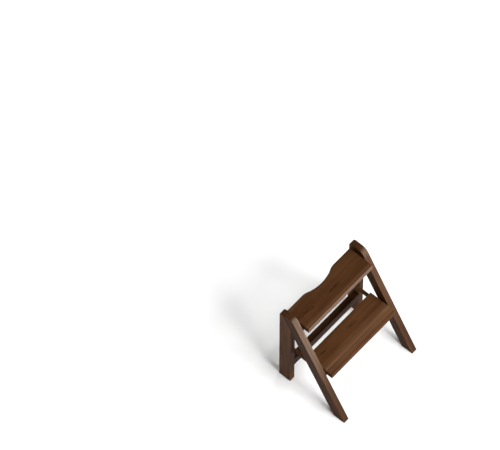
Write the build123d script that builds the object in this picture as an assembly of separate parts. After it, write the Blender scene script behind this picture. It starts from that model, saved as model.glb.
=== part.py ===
from build123d import *
import os
from math import atan, cos, degrees, sin

# Spa steps: two treads held between two A-shaped timber sides. Millimetres, +Z up, front at -Y.
# The origin is on the floor, under the middle of the footprint.
# Each side is a vertical rear leg and a leaning stringer in one plane, mitred together at the top.

os.makedirs("parts", exist_ok=True)

# ---- Driving dimensions ----
WIDTH = 450
DEPTH = 350
HEIGHT = 510
BOARD = 28  # thickness of the legs, stringers and rear rail
TREAD_BOARD = 30  # thickness of the treads
EASE = 2.5  # rounding on the long edges of the boards
END_CHAMFER = 1  # at a tread's ends

LEG_WIDTH = 60
STRINGER_CUT = 59  # width of a stringer measured along the floor
STRINGER_TOP_FRONT = 68  # how far the stringer's front edge is from the back plane at the top
CREST_RADIUS = 38  # rounding of each side's top front corner
NAPE_RADIUS = 16  # rounding of each side's top back corner

UPPER_TREAD_TOP = 480
UPPER_TREAD_BACK = 7  # distances forward of the back plane
UPPER_TREAD_FRONT = 129
LOWER_TREAD_TOP = 251
LOWER_TREAD_BACK = 123
LOWER_TREAD_FRONT = 255
TREAD_NOSE = 4.5  # rounding of a tread's top front edge
TREAD_END_GAP = 3  # between a tread's end and the side beside it
HOLLOW_WIDTH = 165  # the upper tread's back edge is cut hollow, for the round wall of the tub
HOLLOW_DEPTH = 19.5
HOLLOW_MOUTH = 60  # rounding where the hollow runs out into the straight edge

RAIL_BOTTOM = 103.5
RAIL_HEIGHT = 50

CLEAT_THICKNESS = 10  # the strips that carry the treads
CLEAT_HEIGHT = 20
LOWER_CLEAT_BACK = 6
LOWER_CLEAT_FRONT = 222
UPPER_CLEAT_BACK = 8
UPPER_CLEAT_FRONT = 98
CLEAT_EASE = 1.2

SCREW_SHANK = 4
SCREW_HEAD = 8
SIDE_SCREW_LENGTH = 30
TREAD_SCREW_LENGTH = 40
APEX_SCREW_SHANK = 5
APEX_SCREW_HEAD = 10
APEX_SCREW_LENGTH = 75
APEX_SCREW_HEIGHT = 456
SCREW_RIM = 0.4  # straight edge of a countersunk head
SCREW_POINT = 6
RECESS_RADIUS = 0.17  # of the drive recess's lobe centres, as a share of the head's diameter
LOBE_RADIUS = 0.06  # shares of the head's diameter too
RECESS_DEPTH = 0.25
LOBES = 6

DOWEL_RADIUS = 4
DOWEL_CHAMFER = 1
DOWEL_SPARE = 1  # empty depth past each end of a dowel
RAIL_DOWEL_IN_LEG = 20
RAIL_DOWEL_IN_RAIL = 28
RAIL_DOWEL_INSET = 12  # from the rail's top and bottom edges
APEX_DOWEL_IN_LEG = 16
APEX_DOWEL_IN_STRINGER = 20

# Places along each cleat, as distances forward of the back plane.
LOWER_SIDE_SCREWS = [18, 42, 188, 211]
LOWER_TREAD_SCREWS = [145, 200]
UPPER_SIDE_SCREWS = [20, 74, 90]
UPPER_TREAD_SCREWS = [40, 60]
# Places along each mitre, as shares of its length from the bottom.
APEX_DOWELS = [0.22, 0.72]

# Each cleat's back and front, the top of the tread on it, and its screw places.
LOWER_CLEAT = (
    LOWER_CLEAT_BACK,
    LOWER_CLEAT_FRONT,
    LOWER_TREAD_TOP,
    LOWER_SIDE_SCREWS,
    LOWER_TREAD_SCREWS,
)
UPPER_CLEAT = (
    UPPER_CLEAT_BACK,
    UPPER_CLEAT_FRONT,
    UPPER_TREAD_TOP,
    UPPER_SIDE_SCREWS,
    UPPER_TREAD_SCREWS,
)
CLEATS = {"lower": LOWER_CLEAT, "upper": UPPER_CLEAT}

# ---- Worked out from those ----
INNER = WIDTH / 2 - BOARD
LEAN = (DEPTH - STRINGER_TOP_FRONT) / HEIGHT
LEAN_ANGLE = atan(LEAN)
TREAD_LENGTH = 2 * (INNER - TREAD_END_GAP)
MITRE_BOTTOM = (DEPTH - STRINGER_CUT - LEG_WIDTH) / LEAN
LEFT, RIGHT = -1, 1
SIDES = {"left": LEFT, "right": RIGHT}


def ahead(distance):
    """The Y of a place this far forward of the back plane."""
    return DEPTH / 2 - distance


def front_edge(height):
    """How far forward a stringer's front edge is at this height."""
    return DEPTH - LEAN * height


def mitre_place(share):
    """The point on the mitre at this share of its length, as (distance forward, height)."""
    height = MITRE_BOTTOM + share * (HEIGHT - MITRE_BOTTOM)
    return front_edge(height) - STRINGER_CUT, height


def side_plane(side):
    """The upright plane at a side's left face. Its X is the model's Y, and its Y is the model's Z."""
    left_face = -WIDTH / 2 if side == LEFT else INNER
    return Plane(origin=(left_face, 0, 0), x_dir=(0, 1, 0), z_dir=(1, 0, 0))


# ---- Boards ----
def side_outline():
    """Outline of a whole side: the leg and the stringer as one A shape, before the mitre is cut."""
    nape = Vector(ahead(NAPE_RADIUS), HEIGHT - NAPE_RADIUS)
    around_nape = nape + Vector(NAPE_RADIUS, 0).rotate(Axis.Z, 45)
    corners = [
        (ahead(0), HEIGHT - NAPE_RADIUS),
        (ahead(0), 0),
        (ahead(LEG_WIDTH), 0),
        (ahead(LEG_WIDTH), MITRE_BOTTOM),
        (ahead(DEPTH - STRINGER_CUT), 0),
        (ahead(DEPTH), 0),
        (ahead(STRINGER_TOP_FRONT), HEIGHT),
        (ahead(NAPE_RADIUS), HEIGHT),
    ]
    edges = Polyline(*corners) + ThreePointArc(corners[-1], around_nape, corners[0])
    outline = make_face(edges)
    crest = outline.vertices().sort_by_distance((ahead(STRINGER_TOP_FRONT), HEIGHT))[0]
    return fillet(crest, CREST_RADIUS)


def side_boards(side):
    """The rear leg and the stringer of one side, cut apart along the mitre."""
    blank = extrude(side_plane(side) * side_outline(), amount=BOARD)
    across = blank.edges().filter_by(Axis.X)
    rim = [edge for edge in blank.edges() - across if edge.center().Z > 0]
    blank = fillet(rim, EASE)
    normal = (0, -cos(LEAN_ANGLE), sin(LEAN_ANGLE))
    mitre = Plane(origin=(0, ahead(LEG_WIDTH), MITRE_BOTTOM), x_dir=(1, 0, 0), z_dir=normal)
    leg = split(blank, bisect_by=mitre, keep=Keep.BOTTOM)
    stringer = split(blank, bisect_by=mitre, keep=Keep.TOP)
    return leg, stringer


def tread_outline(back_edge, front, hollow):
    """A tread seen from above, with or without the hollow in its back edge."""
    depth = front - back_edge
    outline = Pos(0, ahead(back_edge + depth / 2)) * Rectangle(TREAD_LENGTH, depth)
    if not hollow:
        return outline
    radius = ((HOLLOW_WIDTH / 2) ** 2 + HOLLOW_DEPTH**2) / (2 * HOLLOW_DEPTH)
    outline = outline - Pos(0, ahead(back_edge + HOLLOW_DEPTH) + radius) * Circle(radius)
    mouth = outline.vertices().filter_by(lambda corner: abs(corner.X) < HOLLOW_WIDTH)
    return fillet(mouth, HOLLOW_MOUTH)


def tread(back_edge, front, top, hollow=False):
    """A tread board with a rounded nose at the front, eased along its other edges and at its ends."""
    outline = Pos(0, 0, top - TREAD_BOARD) * tread_outline(back_edge, front, hollow)
    board = extrude(outline, amount=TREAD_BOARD)
    nose = long_edges(board).sort_by_distance((0, ahead(front), top))[0]
    board = fillet(nose, TREAD_NOSE)
    others = [edge for edge in long_edges(board) if not is_near_nose(edge.center(), front, top)]
    board = fillet(others, EASE)
    ends = board.faces().filter_by(Axis.X)
    return chamfer(ends.edges(), END_CHAMFER)


def long_edges(board):
    """The edges that run along a tread, straight or curved."""
    return board.edges() - board.edges().filter_by(Axis.Y) - board.edges().filter_by(Axis.Z)


def is_near_nose(place, front, top):
    return abs(place.Y - ahead(front)) < 2 * TREAD_NOSE and place.Z > top - 2 * TREAD_NOSE


def cleat(side, back_edge, front, top):
    """A strip screwed to the inside of a side, with its top against the tread's underside."""
    length = front - back_edge
    x = side * (INNER - CLEAT_THICKNESS / 2)
    strip = Pos(x, ahead(back_edge + length / 2), top - CLEAT_HEIGHT / 2)
    strip = strip * Box(CLEAT_THICKNESS, length, CLEAT_HEIGHT)
    inner_face = strip.faces().sort_by(Axis.X)[0 if side == RIGHT else -1]
    return chamfer(inner_face.edges(), CLEAT_EASE)


def rear_rail():
    """The rail between the rear legs, flush with their front edges."""
    place = Pos(0, ahead(LEG_WIDTH - BOARD / 2), RAIL_BOTTOM + RAIL_HEIGHT / 2)
    rail = place * Box(2 * INNER, BOARD, RAIL_HEIGHT)
    return fillet(rail.edges().filter_by(Axis.X), EASE)


# ---- Fasteners ----
def screw_body(shank, head, length):
    """A countersunk screw along -Z with the top of its head at the origin, without its drive recess."""
    cone = (head - shank) / 2
    profile = [
        (0, 0),
        (head / 2, 0),
        (head / 2, -SCREW_RIM),
        (shank / 2, -SCREW_RIM - cone),
        (shank / 2, -length + SCREW_POINT),
        (0, -length),
    ]
    return revolve(Plane.XZ * make_face(Polyline(*profile, close=True)), Axis.Z)


def star_recess(head):
    """The lobed drive recess in a screw head."""
    core = Circle(head * RECESS_RADIUS)
    lobes = [place * Circle(head * LOBE_RADIUS) for place in PolarLocations(head * RECESS_RADIUS, LOBES)]
    return extrude(core + lobes, amount=-head * RECESS_DEPTH)


def screw(shank, head, length):
    return screw_body(shank, head, length) - star_recess(head)


def dowel(length):
    """A fluteless dowel pin along Z, centred, with chamfered ends."""
    pin = Cylinder(DOWEL_RADIUS, length)
    return chamfer(pin.edges().filter_by(GeomType.CIRCLE), DOWEL_CHAMFER)


def dowel_hole(length):
    return Cylinder(DOWEL_RADIUS, length + 2 * DOWEL_SPARE)


def side_screw_places(side, distances, tread_top):
    """Screw places through a cleat into its side, driven from the inside outwards."""
    x = side * (INNER - CLEAT_THICKNESS)
    z = tread_top - TREAD_BOARD - CLEAT_HEIGHT / 2
    into_side = Rot(0, -90 * side, 0)
    return [Pos(x, ahead(distance), z) * into_side for distance in distances]


def tread_screw_places(side, distances, tread_top):
    """Screw places up through a cleat into a tread."""
    x = side * (INNER - CLEAT_THICKNESS / 2)
    z = tread_top - TREAD_BOARD - CLEAT_HEIGHT
    upwards = Rot(180, 0, 0)
    return [Pos(x, ahead(distance), z) * upwards for distance in distances]


def rail_dowel_places(side):
    """Dowel places between the rear rail and a rear leg, centred on each dowel."""
    x = side * (INNER + (RAIL_DOWEL_IN_LEG - RAIL_DOWEL_IN_RAIL) / 2)
    y = ahead(LEG_WIDTH - BOARD / 2)
    heights = [RAIL_BOTTOM + RAIL_DOWEL_INSET, RAIL_BOTTOM + RAIL_HEIGHT - RAIL_DOWEL_INSET]
    return [Pos(x, y, z) * Rot(0, 90, 0) for z in heights]


def apex_dowel_places(side):
    """Dowel places square to the mitre, centred on each dowel."""
    x = side * (INNER + BOARD / 2)
    shift = (APEX_DOWEL_IN_STRINGER - APEX_DOWEL_IN_LEG) / 2
    places = []
    for share in APEX_DOWELS:
        distance, height = mitre_place(share)
        y = ahead(distance + shift * cos(LEAN_ANGLE))
        z = height + shift * sin(LEAN_ANGLE)
        places.append(Pos(x, y, z) * Rot(90 - degrees(LEAN_ANGLE), 0, 0))
    return places


def apex_screw_places(side):
    """The place of the long screw from a leg's back edge through the mitre."""
    forwards = Rot(-90, 0, 0)
    return [Pos(side * (INNER + BOARD / 2), ahead(0), APEX_SCREW_HEIGHT) * forwards]


def repeated(piece, places):
    """The same piece at every place, as separate solids."""
    pieces = [place * piece for place in places]
    return Compound(children=pieces) if len(pieces) > 1 else pieces[0]


def drill(board, body, places):
    for place in places:
        board = board - place * body
    return board


# ---- Assembly ----
nodes = {
    "upper_tread": tread(UPPER_TREAD_BACK, UPPER_TREAD_FRONT, UPPER_TREAD_TOP, hollow=True),
    "lower_tread": tread(LOWER_TREAD_BACK, LOWER_TREAD_FRONT, LOWER_TREAD_TOP),
    "rear_rail": rear_rail(),
}

side_screw_sizes = (SCREW_SHANK, SCREW_HEAD, SIDE_SCREW_LENGTH)
tread_screw_sizes = (SCREW_SHANK, SCREW_HEAD, TREAD_SCREW_LENGTH)
apex_screw_sizes = (APEX_SCREW_SHANK, APEX_SCREW_HEAD, APEX_SCREW_LENGTH)
rail_dowel_length = RAIL_DOWEL_IN_LEG + RAIL_DOWEL_IN_RAIL
apex_dowel_length = APEX_DOWEL_IN_LEG + APEX_DOWEL_IN_STRINGER

for name, side in SIDES.items():
    leg, stringer = f"rear_leg_{name}", f"stringer_{name}"
    nodes[leg], nodes[stringer] = side_boards(side)
    for level, (back_edge, front, top, side_distances, tread_distances) in CLEATS.items():
        strip = f"{level}_cleat_{name}"
        nodes[strip] = cleat(side, back_edge, front, top - TREAD_BOARD)
        side_places = side_screw_places(side, side_distances, top)
        tread_places = tread_screw_places(side, tread_distances, top)
        nodes[f"{level}_cleat_screws_{name}"] = repeated(screw(*side_screw_sizes), side_places)
        nodes[f"{level}_tread_screws_{name}"] = repeated(screw(*tread_screw_sizes), tread_places)
        for board in (strip, leg, stringer):
            nodes[board] = drill(nodes[board], screw_body(*side_screw_sizes), side_places)
        for board in (strip, f"{level}_tread"):
            nodes[board] = drill(nodes[board], screw_body(*tread_screw_sizes), tread_places)
    rail_places = rail_dowel_places(side)
    apex_places = apex_dowel_places(side)
    screw_places = apex_screw_places(side)
    nodes[f"rail_dowels_{name}"] = repeated(dowel(rail_dowel_length), rail_places)
    nodes[f"apex_dowels_{name}"] = repeated(dowel(apex_dowel_length), apex_places)
    nodes[f"apex_screw_{name}"] = repeated(screw(*apex_screw_sizes), screw_places)
    for board in (leg, "rear_rail"):
        nodes[board] = drill(nodes[board], dowel_hole(rail_dowel_length), rail_places)
    for board in (leg, stringer):
        nodes[board] = drill(nodes[board], dowel_hole(apex_dowel_length), apex_places)
        nodes[board] = drill(nodes[board], screw_body(*apex_screw_sizes), screw_places)

for node, shape in nodes.items():
    export_step(shape, f"parts/{node}.step")
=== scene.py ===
"""The looks of the spa steps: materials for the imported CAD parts, and the floor, lights and camera."""

import math

import bpy
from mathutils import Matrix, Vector


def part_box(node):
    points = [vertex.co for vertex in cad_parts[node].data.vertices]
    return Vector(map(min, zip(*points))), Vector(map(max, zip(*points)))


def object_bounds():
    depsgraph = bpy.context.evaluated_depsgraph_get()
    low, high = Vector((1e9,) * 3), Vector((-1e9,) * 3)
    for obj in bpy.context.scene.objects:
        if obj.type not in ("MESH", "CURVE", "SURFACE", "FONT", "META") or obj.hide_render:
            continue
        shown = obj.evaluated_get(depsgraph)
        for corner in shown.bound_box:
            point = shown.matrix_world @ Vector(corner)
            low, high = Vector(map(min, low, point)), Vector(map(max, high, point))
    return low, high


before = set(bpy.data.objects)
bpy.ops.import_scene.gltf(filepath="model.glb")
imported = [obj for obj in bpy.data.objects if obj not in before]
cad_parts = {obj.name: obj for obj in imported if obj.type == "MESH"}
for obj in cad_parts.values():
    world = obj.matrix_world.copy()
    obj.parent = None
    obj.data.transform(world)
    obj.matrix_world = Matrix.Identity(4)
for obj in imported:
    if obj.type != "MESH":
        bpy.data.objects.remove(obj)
cad_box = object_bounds()

# ---- Facts about the object that the frame doesn't say, in metres ----
BOARD_THICKNESS = 0.028
STRINGER_CUT = 0.059  # a stringer's width along the floor
STRINGER_LEAN = 0.282 / 0.510  # how far a stringer goes back for each metre that it rises

X_AXIS = Vector((1, 0, 0))
Y_AXIS = Vector((0, 1, 0))
Z_AXIS = Vector((0, 0, 1))
UP_THE_STRINGER = Vector((0, STRINGER_LEAN, 1)).normalized()
ENDLESS = 10.0  # a half length for a board whose ends are cut on a slant


# ---- Material nodes ----
class Graph:
    """The nodes of one material. An input is a number, a vector, a colour or another node's output."""

    def __init__(self, name):
        self.material = bpy.data.materials.new(name)
        self.material.use_nodes = True
        self.tree = self.material.node_tree
        self.shader = self.tree.nodes["Principled BSDF"]
        place = self.add("ShaderNodeTexCoord")
        self.point = place.outputs["Object"]
        self.normal = place.outputs["Normal"]

    def add(self, kind, inputs=(), **settings):
        node = self.tree.nodes.new(kind)
        for name, value in settings.items():
            setattr(node, name, value)
        for key, value in dict(inputs).items():
            self.join(node.inputs[key], value)
        return node

    def join(self, socket, value):
        if isinstance(value, bpy.types.NodeSocket):
            self.tree.links.new(value, socket)
        else:
            socket.default_value = value

    def math(self, operation, *values):
        return self.add("ShaderNodeMath", enumerate(values), operation=operation).outputs[0]

    def vector(self, operation, *values):
        """A vector sum, difference or product, or the single number of a dot product."""
        node = self.add("ShaderNodeVectorMath", enumerate(values), operation=operation)
        return node.outputs["Value" if operation == "DOT_PRODUCT" else "Vector"]

    def total(self, *values):
        """The sum of several values."""
        result = values[0]
        for value in values[1:]:
            result = self.math("ADD", result, value)
        return result

    def scaled(self, value, amount, middle=0.0):
        """(value - middle) * amount."""
        return self.math("MULTIPLY_ADD", value, amount, -middle * amount)

    def swing(self, noise, amount):
        """Noise turned into a change of up to half of amount, up or down."""
        return self.scaled(noise, amount, 0.5)

    def diagonal(self, first, second):
        """The long side of a right-angled triangle."""
        squares = [self.math("MULTIPLY", side, side) for side in (first, second)]
        return self.math("SQRT", self.total(*squares))

    def fade(self, value, start, end, low=0.0, high=1.0):
        """Goes smoothly from low at start to high at end, and stays there."""
        inputs = {"Value": value, "From Min": start, "From Max": end, "To Min": low, "To Max": high}
        node = self.add("ShaderNodeMapRange", inputs, interpolation_type="SMOOTHSTEP")
        return node.outputs[0]

    def noise(self, point, stretch, detail=2.0, roughness=0.5):
        """Noise from 0 to 1, with this many features per metre along each of the point's axes."""
        inputs = {
            "Vector": self.vector("MULTIPLY", point, stretch),
            "Scale": 1.0,
            "Detail": detail,
            "Roughness": roughness,
        }
        return self.add("ShaderNodeTexNoise", inputs).outputs[0]

    def ramp(self, value, stops):
        """The colour at this value, between stops of (value, colour)."""
        node = self.add("ShaderNodeValToRGB", {0: value})
        band = node.color_ramp
        ends = [(band.elements[0], stops[0]), (band.elements[1], stops[-1])]
        for element, (position, colour) in ends:
            element.position = position
            element.color = (*colour, 1)
        for position, colour in stops[1:-1]:
            band.elements.new(position).color = (*colour, 1)
        return node.outputs[0]

    def mix(self, share, first, second):
        """first where share is 0, second where it is 1."""
        node = self.add("ShaderNodeMix", {0: share}, data_type="RGBA")
        colours = [socket for socket in node.inputs if socket.type == "RGBA"]
        self.join(colours[0], first)
        self.join(colours[1], second)
        return next(socket for socket in node.outputs if socket.type == "RGBA")

    def finish(self, colour, roughness, height, depth):
        """Sets the colour and roughness, and a bump whose full height is depth metres."""
        bump = self.add("ShaderNodeBump", {"Height": height, "Distance": depth, "Strength": 1.0})
        self.join(self.shader.inputs["Base Color"], colour)
        self.join(self.shader.inputs["Roughness"], roughness)
        self.join(self.shader.inputs["Normal"], bump.outputs[0])
        return self.material


# ---- What all the timber shares ----
# The stain's colours, from the darkest shade, 0, to the palest, 1.
STAIN = [
    (0.00, (0.013, 0.0043, 0.0015)),
    (0.30, (0.034, 0.0126, 0.0041)),
    (0.50, (0.057, 0.0225, 0.0080)),
    (0.70, (0.083, 0.0360, 0.0142)),
    (1.00, (0.150, 0.0760, 0.0350)),
]
# The same shades made pale and grey, for the bleached pale streaks and for the painted highlight on the
# front faces.
BLEACHED_AND_HIGHLIGHT = [
    (0.00, (0.078, 0.048, 0.032)),
    (0.50, (0.156, 0.103, 0.074)),
    (1.00, (0.250, 0.180, 0.136)),
]

# Noise features per metre, along, across and through a board.
RING_WANDER = (1.5, 9.0, 9.0)
RIPPLES = (16.0, 60.0, 60.0)
STREAKS = (1.4, 46.0, 46.0)
CLOUDS = (5.0, 16.0, 16.0)
FIBRES = (11.0, 520.0, 520.0)
PORES = (55.0, 900.0, 900.0)
RUBBED_PATCHES = (22.0, 70.0, 70.0)
PORE_RANGE = (0.62, 0.72)  # the noise between which a pore opens
PATCH_RANGE = (0.38, 0.66)
SAMPLE_STEP = (0.37, 0.2257, 0.4699)  # from one board's place in the noise to another's, in metres

# Growth rings, in metres.
RING_SPACING = 0.0052
WANDER_DEPTH = 0.016
RIPPLE_DEPTH = 0.0016
# How dark a ring is through one year's growth. It is darkest near the end of the summer.
RING_DARKNESS = [(0.00, 0.25), (0.15, 0.00), (0.62, 0.35), (0.90, 1.00), (1.00, 0.25)]

# Knots. Distances are in a knot's own radii.
KNOT_STRETCH = 0.2  # a knot's width as a share of its length
KNOT_RAGGEDNESS = 2.2
KNOT_CORE = (0.35, 1.3)  # fully dark inside the first, and not beyond the second
KNOT_HALO = (1.0, 3.2)
HALO_DARKNESS = 0.25
KNOT_REACH = 4.0
KNOT_BEND = 0.011  # how far a knot shifts the rings, in metres

# How strongly each pattern of a board changes its shade, its roughness and its relief.
SHADE = {
    "streak": 0.62,
    "cloud": 0.34,
    "fibre": 0.30,
    "ring": -0.12,
    "pore": -0.10,
    "rubbed": 0.22,
    "knot": -0.26,
    "end_grain": -0.13,
}
ROUGHNESS = {"fibre": 0.16, "cloud": 0.12, "pore": 0.10, "rubbed": -0.05}
RELIEF = {"fibre": 0.5, "pore": -0.6, "ring": 0.25}
# The value at which a pattern changes nothing, where that isn't 0.
NEUTRAL = {"streak": 0.5, "cloud": 0.5, "fibre": 0.5, "ring": 0.35}
MIDDLE_SHADE = 0.5
MIDDLE_ROUGHNESS = 0.52
GRAIN_DEPTH = 0.00016
GLOSS = 0.03

# Wear, weather, and painted light and shade on the front faces. Heights are in metres above the floor.
EDGE_WEAR_WIDTH = 0.0045
EDGE_WEAR_FULL = 0.0004  # how near to an edge the wear is full
FRONT_FACING = (0.2, 0.7)  # how far a surface has to turn to the front to count as a front
END_FACING = (0.6, 0.95)
# Painted shade on the front faces: full near the floor, fading above the second height to each board's own
# amount.
FOOT_HEIGHTS = (0.02, 0.22)
FOOT_PAINTED_SHADE = 0.12
# Painted highlight on the front faces grows between these heights, and on the stringers' rounded tops
# between the next two.
HIGHLIGHT_HEIGHTS = (0.12, 0.44)
APEX_HEIGHTS = (0.46, 0.50)
APEX_HIGHLIGHT = 0.5  # how far the painted highlight lightens the rounded tops of the stringers
HIGHLIGHT_IN_GRAIN = (0.3, 0.6, 0.82, 1.0)  # from this much streak to that, and the painted highlight's strength at each
PALE_IN_GRAIN = (0.25, 0.6, 0.55, 1.0)  # the same for the pale streaks
PALE_CORE = 0.25  # the part of a pale streak that has its full strength
PALE_WANDER = 0.006
BLEACHING = 0.35  # how far a pale streak goes towards weathered wood, for its strength


# ---- Timber ----
class Board:
    """How a board was sawn, how it has worn, and the light and shade painted on its front faces. Its places
    are in metres from its middle.
    """

    def __init__(
        self,
        grain,
        face,
        heart,
        drift,
        tone=1.0,
        knots=(),
        pale=(),
        front_painted_highlight=(0.0, 0.0),
        front_painted_shade=0.0,
    ):
        self.grain = grain
        self.face = face  # the way its wide face looks
        self.heart = heart  # the tree's heart, across and behind the middle of the board
        self.drift = drift  # how far the heart moves across and behind for each metre along
        self.tone = tone
        self.knots = knots  # (along, across, radius)
        self.pale = pale  # pale streaks: (across, half width, strength)
        self.front_painted_highlight = front_painted_highlight  # painted highlight on its front face, near the floor and at the top
        self.front_painted_shade = front_painted_shade  # painted shade on its front face above the feet

    def axes(self):
        """The ways along, across and through the board."""
        return self.grain, self.face.cross(self.grain), self.face

    def middle_and_halves(self, node):
        """The board's middle, and half its length, width and thickness."""
        low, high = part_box(node)
        if self.grain == UP_THE_STRINGER:
            foot = Vector(((low.x + high.x) / 2, low.y + STRINGER_CUT / 2, 0))
            middle = foot + self.grain * (high.z / 2 / self.grain.z)
            return middle, (ENDLESS, STRINGER_CUT * self.grain.z / 2, BOARD_THICKNESS / 2)
        halves = [abs((high - low).dot(axis)) / 2 for axis in self.axes()]
        return (low + high) / 2, halves


class Timber:
    """The stained timber of one board, with its growth rings, streaks, knots and rubbed edges, and painted
    light and shade on its front faces.
    """

    def __init__(self, node, board):
        self.board = board
        self.graph = graph = Graph(f"timber_{node}")
        middle, self.halves = board.middle_and_halves(node)
        offset = graph.vector("SUBTRACT", graph.point, middle)
        self.place = [graph.vector("DOT_PRODUCT", offset, axis) for axis in board.axes()]
        sawn = graph.add("ShaderNodeCombineXYZ", enumerate(self.place)).outputs[0]
        steps = sum(ord(letter) for letter in node)
        self.sample = graph.vector("ADD", sawn, [steps * step for step in SAMPLE_STEP])
        self.wander = self.noise(RING_WANDER, detail=3.0)
        self.ripple = self.noise(RIPPLES)
        self.height = graph.vector("DOT_PRODUCT", graph.point, Z_AXIS)
        front = graph.vector("DOT_PRODUCT", graph.normal, -Y_AXIS)
        self.front = graph.fade(front, *FRONT_FACING)
        end = graph.math("ABSOLUTE", graph.vector("DOT_PRODUCT", graph.normal, board.grain))
        bend, knot = self.knots()
        self.patterns = {
            "streak": self.noise(STREAKS, detail=3.0, roughness=0.55),
            "cloud": self.noise(CLOUDS),
            "fibre": self.noise(FIBRES, roughness=0.6),
            "ring": self.rings(bend),
            "pore": graph.fade(self.noise(PORES, detail=1.0), *PORE_RANGE),
            "rubbed": self.rubbed_edges(),
            "knot": knot,
            "end_grain": graph.fade(end, *END_FACING),
        }

    def noise(self, stretch, detail=2.0, roughness=0.5):
        return self.graph.noise(self.sample, stretch, detail, roughness)

    def knot_distance(self, knot):
        """Distance from a knot in its radii, shortened along the grain so that the knot is drawn out."""
        graph = self.graph
        knot_along, knot_across, radius = knot
        along, across, _ = self.place
        lengthwise = graph.scaled(along, KNOT_STRETCH, knot_along)
        sideways = graph.math("SUBTRACT", across, knot_across)
        return graph.math("DIVIDE", graph.diagonal(lengthwise, sideways), radius)

    def knots(self):
        """How far the knots shift the rings, and how much they darken the wood."""
        graph = self.graph
        bend = 0.0
        dark = 0.0
        for knot in self.board.knots:
            ragged = graph.swing(self.ripple, KNOT_RAGGEDNESS)
            away = graph.total(self.knot_distance(knot), ragged)
            bend = graph.total(bend, graph.fade(away, 0.0, KNOT_REACH, KNOT_BEND, 0.0))
            core = graph.fade(away, *KNOT_CORE, 1.0, 0.0)
            halo = graph.fade(away, *KNOT_HALO, HALO_DARKNESS, 0.0)
            dark = graph.total(dark, core, halo)
        return bend, dark

    def rings(self, bend):
        """How dark the growth ring is. The rings lie around the tree's heart."""
        graph = self.graph
        along, across, through = self.place
        heart_across, heart_behind = self.board.heart
        drift_across, drift_behind = self.board.drift
        sideways = graph.total(across, graph.scaled(along, -drift_across), -heart_across)
        behind = graph.total(through, graph.scaled(along, -drift_behind), heart_behind)
        radius = graph.total(
            graph.diagonal(sideways, behind),
            graph.swing(self.wander, WANDER_DEPTH),
            graph.swing(self.ripple, RIPPLE_DEPTH),
            bend,
        )
        year = graph.math("FRACT", graph.math("DIVIDE", radius, RING_SPACING))
        return graph.ramp(year, [(part, (dark, dark, dark)) for part, dark in RING_DARKNESS])

    def rubbed_edges(self):
        """1 where an edge of the board is rubbed, and 0 away from the edges and between the patches."""
        graph = self.graph
        distances = [graph.math("ABSOLUTE", distance) for distance in self.place]
        past = [graph.math("SUBTRACT", *pair) for pair in zip(distances, self.halves)]
        pairs = [(0, 1), (1, 2), (0, 2)]
        edges = [graph.math("MINIMUM", past[first], past[second]) for first, second in pairs]
        nearest = graph.math("MAXIMUM", graph.math("MAXIMUM", edges[0], edges[1]), edges[2])
        near = graph.fade(nearest, -EDGE_WEAR_WIDTH, -EDGE_WEAR_FULL)
        patches = graph.fade(self.noise(RUBBED_PATCHES), *PATCH_RANGE)
        return graph.math("MULTIPLY", near, patches)

    def pale_streaks(self):
        """The total strength of the board's pale streaks."""
        graph = self.graph
        total = 0.0
        for streak_across, half_width, strength in self.board.pale:
            wavy = graph.total(self.place[1], graph.swing(self.wander, PALE_WANDER), -streak_across)
            away = graph.math("ABSOLUTE", wavy)
            total = graph.total(total, graph.fade(away, PALE_CORE * half_width, half_width, strength, 0.0))
        return total

    def front_painted_shade(self):
        """Painted shade on the front faces, near the floor and above it."""
        graph = self.graph
        by_height = graph.fade(self.height, *FOOT_HEIGHTS, FOOT_PAINTED_SHADE, self.board.front_painted_shade)
        return graph.math("MULTIPLY", self.front, by_height)

    def front_painted_highlight(self):
        """Painted highlight on the front faces and the stringers' rounded tops, weaker in the dark streaks.
        """
        graph = self.graph
        by_height = graph.fade(self.height, *HIGHLIGHT_HEIGHTS, *self.board.front_painted_highlight)
        apex = graph.fade(self.height, *APEX_HEIGHTS, 0.0, APEX_HIGHLIGHT)
        highlight = graph.math("MULTIPLY", self.front, graph.math("MAXIMUM", by_height, apex))
        return graph.math("MULTIPLY", highlight, graph.fade(self.patterns["streak"], *HIGHLIGHT_IN_GRAIN))

    def weighted(self, middle, weights):
        """middle, changed by each of these patterns as strongly as its weight says."""
        graph = self.graph
        changes = []
        for name, weight in weights.items():
            changes.append(graph.scaled(self.patterns[name], weight, NEUTRAL.get(name, 0.0)))
        return graph.total(middle, *changes)

    def material(self):
        graph = self.graph
        streaks = self.pale_streaks()
        # A pale streak is weaker where the grain is dark.
        broken = graph.math("MULTIPLY", streaks, graph.fade(self.patterns["streak"], *PALE_IN_GRAIN))
        shade = graph.total(self.weighted(MIDDLE_SHADE, SHADE), broken)
        # Painted shade on the front faces.
        shade = graph.math("SUBTRACT", shade, self.front_painted_shade())
        stain = [(position, tuple(part * self.board.tone for part in colour)) for position, colour in STAIN]
        # The stronger of the painted highlight on the fronts and the bleaching of the pale streaks moves
        # the colour to the pale, grey shades.
        highlight_and_bleaching = graph.math("MAXIMUM", self.front_painted_highlight(), graph.scaled(streaks, BLEACHING))
        colour = graph.mix(highlight_and_bleaching, graph.ramp(shade, stain), graph.ramp(shade, BLEACHED_AND_HIGHLIGHT))
        graph.shader.inputs["Specular IOR Level"].default_value = GLOSS
        roughness = self.weighted(MIDDLE_ROUGHNESS, ROUGHNESS)
        return graph.finish(colour, roughness, self.weighted(0.0, RELIEF), GRAIN_DEPTH)


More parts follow.
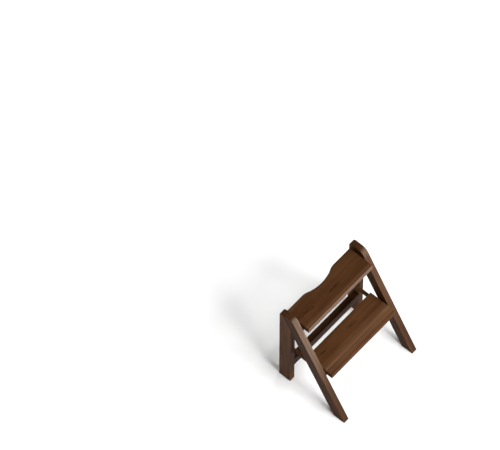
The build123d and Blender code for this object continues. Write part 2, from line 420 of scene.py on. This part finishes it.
BOARDS = {
    "upper_tread": Board(
        X_AXIS,
        Z_AXIS,
        heart=(0.16, 0.07),
        drift=(0.05, 0.04),
        knots=[
            (0.025, -0.010, 0.0030),
            (-0.002, -0.011, 0.0024),
            (-0.140, -0.001, 0.0028),
            (-0.110, -0.007, 0.0022),
        ],
        pale=[(-0.050, 0.010, 0.12)],
        # painted highlight on the upper tread's front face
        front_painted_highlight=(0.0, 0.75),
    ),
    "lower_tread": Board(
        X_AXIS,
        Z_AXIS,
        heart=(-0.19, 0.06),
        drift=(-0.03, 0.05),
        tone=1.20,
        knots=[(0.025, 0.025, 0.0028), (0.046, 0.023, 0.0022), (-0.140, 0.029, 0.0028)],
        pale=[(-0.034, 0.030, 0.18), (-0.033, 0.007, 0.16), (-0.055, 0.006, 0.10)],
        # painted shade on the lower tread's front face
        front_painted_shade=0.13,
    ),
    # The rear rail's low tone is painted shade.
    "rear_rail": Board(X_AXIS, Y_AXIS, heart=(0.03, 0.07), drift=(0.02, 0.02), tone=0.72),
}
# Painted highlight on the stringers' front faces, low down and at the top; the left front is lit far more.
FRONT_PAINTED_HIGHLIGHT = {"left": (0.12, 0.90), "right": (0.09, 0.15)}
for side, highlight in FRONT_PAINTED_HIGHLIGHT.items():
    BOARDS[f"stringer_{side}"] = Board(
        UP_THE_STRINGER, X_AXIS, heart=(0.02, 0.09), drift=(0.03, 0.04), tone=0.82, front_painted_highlight=highlight
    )
    # The rear legs' front faces carry strong painted shade.
    BOARDS[f"rear_leg_{side}"] = Board(
        Z_AXIS, X_AXIS, heart=(-0.02, 0.10), drift=(0.03, -0.03), tone=1.36, front_painted_shade=0.32
    )
    BOARDS[f"lower_cleat_{side}"] = Board(Y_AXIS, X_AXIS, heart=(0.01, 0.06), drift=(0.02, 0.02))
    BOARDS[f"upper_cleat_{side}"] = Board(Y_AXIS, X_AXIS, heart=(-0.01, 0.07), drift=(0.02, 0.01))


# ---- Steel and beech ----
TURNING_MARKS = (900.0, 900.0, 900.0)  # noise features per metre
TARNISH = (140.0, 140.0, 140.0)
STEEL_COLOURS = [(0.30, (0.36, 0.35, 0.34)), (0.55, (0.55, 0.55, 0.55)), (0.80, (0.66, 0.65, 0.62))]
STEEL_ROUGHNESS = 0.30
TARNISH_ROUGHNESS = 0.25
TURNING_ROUGHNESS = 0.12
STEEL_DEPTH = 0.00003
BEECH_FLECKS = (300.0, 120.0, 300.0)
BEECH_COLOURS = [(0.30, (0.42, 0.26, 0.14)), (0.60, (0.58, 0.40, 0.24)), (0.90, (0.66, 0.48, 0.31))]
BEECH_ROUGHNESS = 0.46
FLECK_ROUGHNESS = 0.2
BEECH_DEPTH = 0.0001


def screw_steel():
    graph = Graph("screw_steel")
    turned = graph.noise(graph.point, TURNING_MARKS)
    tarnish = graph.noise(graph.point, TARNISH, detail=3.0)
    dulling = graph.swing(tarnish, TARNISH_ROUGHNESS)
    roughness = graph.total(STEEL_ROUGHNESS, dulling, graph.swing(turned, TURNING_ROUGHNESS))
    graph.shader.inputs["Metallic"].default_value = 1.0
    return graph.finish(graph.ramp(tarnish, STEEL_COLOURS), roughness, turned, STEEL_DEPTH)


def beech():
    graph = Graph("beech_dowel")
    fleck = graph.noise(graph.point, BEECH_FLECKS, detail=3.0)
    roughness = graph.total(BEECH_ROUGHNESS, graph.scaled(fleck, FLECK_ROUGHNESS))
    return graph.finish(graph.ramp(fleck, BEECH_COLOURS), roughness, fleck, BEECH_DEPTH)


steel = screw_steel()
dowel_wood = beech()
for name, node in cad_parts.items():
    if name in BOARDS:
        finish = Timber(name, BOARDS[name]).material()
    else:
        finish = dowel_wood if "dowels" in name else steel
    for slot in node.material_slots:
        slot.material = finish


# ---- Floor ----
FLOOR_HALF = 30.0
FLOOR_DUST = (3.0, 3.0, 3.0)  # noise features per metre
FLOOR_COLOURS = [(0.2, (0.90, 0.90, 0.895)), (0.8, (0.93, 0.93, 0.927))]
FLOOR_ROUGHNESS = 0.8
DUST_ROUGHNESS = 0.1
FLOOR_DEPTH = 0.0001


def pale_floor():
    graph = Graph("pale_floor")
    dust = graph.noise(graph.point, FLOOR_DUST)
    roughness = graph.total(FLOOR_ROUGHNESS, graph.scaled(dust, DUST_ROUGHNESS))
    return graph.finish(graph.ramp(dust, FLOOR_COLOURS), roughness, dust, FLOOR_DEPTH)


floor_mesh = bpy.data.meshes.new("floor")
corners = [(x * FLOOR_HALF, y * FLOOR_HALF, 0) for x, y in ((-1, -1), (1, -1), (1, 1), (-1, 1))]
floor_mesh.from_pydata(corners, [], [(0, 1, 2, 3)])
floor_mesh.materials.append(pale_floor())
floor = bpy.data.objects.new("floor", floor_mesh)
bpy.context.scene.collection.objects.link(floor)


# ---- Lights ----
LIGHT_WIDTH = 30.0  # degrees across, as seen from the object
WORLD_STRENGTH = 0.04
# Each light's name, azimuth, elevation and strength.
LIGHTS = [
    ("key", 0, 40, 1.12),
    ("low_front", 0, 20, 0.36),
    ("right", 35, 45, 0.38),
    ("far_right", 100, 25, 0.30),
    ("back", 180, 22, 0.34),
    ("left", -110, 30, 0.06),
]


def direction(azimuth, elevation):
    """The way from the object to a viewer or a light. Azimuth 0 is in front of it, and 90 on its right."""
    turn = math.radians(azimuth)
    rise = math.radians(elevation)
    return Vector((math.sin(turn) * math.cos(rise), -math.cos(turn) * math.cos(rise), math.sin(rise)))


def soft_light(name, azimuth, elevation, strength):
    """An even, soft light from far away. Strength 1 makes a white surface that faces it pure white."""
    lamp = bpy.data.lights.new(name, "SUN")
    lamp.angle = math.radians(LIGHT_WIDTH)
    lamp.energy = strength * math.pi
    sun = bpy.data.objects.new(name, lamp)
    sun.rotation_mode = "QUATERNION"
    sun.rotation_quaternion = (-direction(azimuth, elevation)).to_track_quat("-Z", "Y")
    bpy.context.scene.collection.objects.link(sun)


for light in LIGHTS:
    soft_light(*light)

world = bpy.data.worlds.new("studio")
world.use_nodes = True
background = world.node_tree.nodes["Background"]
background.inputs["Color"].default_value = (1.0, 1.0, 1.0, 1)
background.inputs["Strength"].default_value = WORLD_STRENGTH
bpy.context.scene.world = world


# ---- Camera ----
# The view from the left, front and well above, as far away as a long lens needs to see it nearly parallel.
VIEW_AZIMUTH = -48.68
VIEW_ELEVATION = 60.58
LENS = 400.0
SENSOR = 36.0
VIEW_WIDTH = 2.007  # metres across the frame
OBJECT_RIGHT = 0.3967  # how far the object's middle is right of and below the middle of the frame
OBJECT_BELOW = 0.4253

camera_data = bpy.data.cameras.new("camera")
camera_data.lens = LENS
camera_data.sensor_width = SENSOR
camera_data.clip_start = 1.0
camera_data.clip_end = 100.0
camera = bpy.data.objects.new("camera", camera_data)
bpy.context.scene.collection.objects.link(camera)
back = direction(VIEW_AZIMUTH, VIEW_ELEVATION)
right = Z_AXIS.cross(back).normalized()
up = back.cross(right)
cad_middle = (cad_box[0] + cad_box[1]) / 2
aim = cad_middle - right * OBJECT_RIGHT + up * OBJECT_BELOW
camera.location = aim + back * (VIEW_WIDTH * LENS / SENSOR)
camera.rotation_mode = "QUATERNION"
camera.rotation_quaternion = (-back).to_track_quat("-Z", "Y")
bpy.context.scene.camera = camera
bpy.context.scene.view_settings.view_transform = "Standard"
